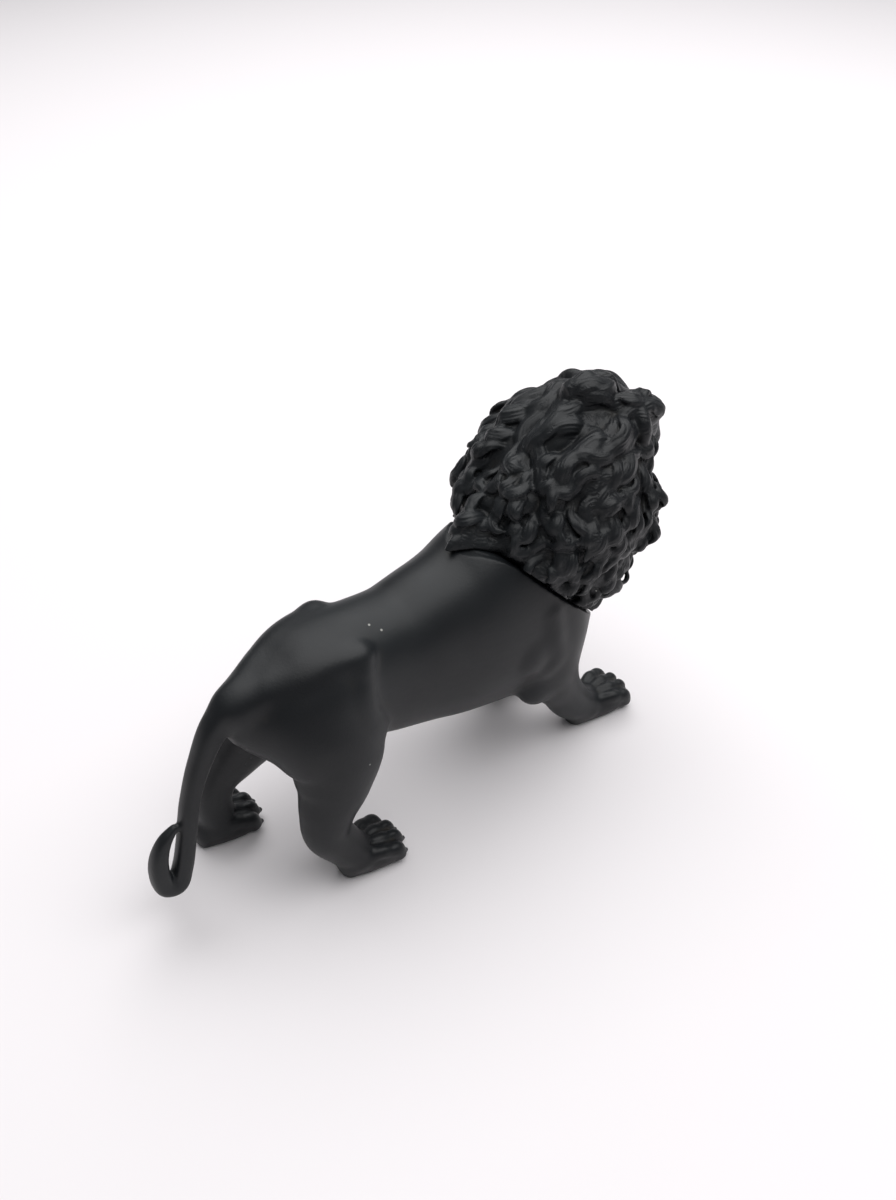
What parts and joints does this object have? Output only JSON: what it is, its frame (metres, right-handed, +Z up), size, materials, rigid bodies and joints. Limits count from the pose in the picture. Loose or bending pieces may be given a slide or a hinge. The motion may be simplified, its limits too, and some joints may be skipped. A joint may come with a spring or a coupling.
{
  "type": "cast iron lion figure",
  "caption": "Striding male lion in black cast iron, with a heavy curled mane cast apart from the smooth body, flat paws and a low hanging tail with a curled end.",
  "frame": {"origin": "on the floor under the middle of the lion's bounding box", "axes": "+X forward, the way the lion walks, +Y to its left, +Z up"},
  "size_m": [0.2384, 0.0744, 0.158],
  "materials": {
    "body_iron": "smooth satin black",
    "mane_iron": "satin black, faintly brown and dusty in the hollows of the curls"
  },
  "bodies": {
    "root": {"body": "body_iron", "head_and_mane": "mane_iron"}
  },
  "joints": []
}
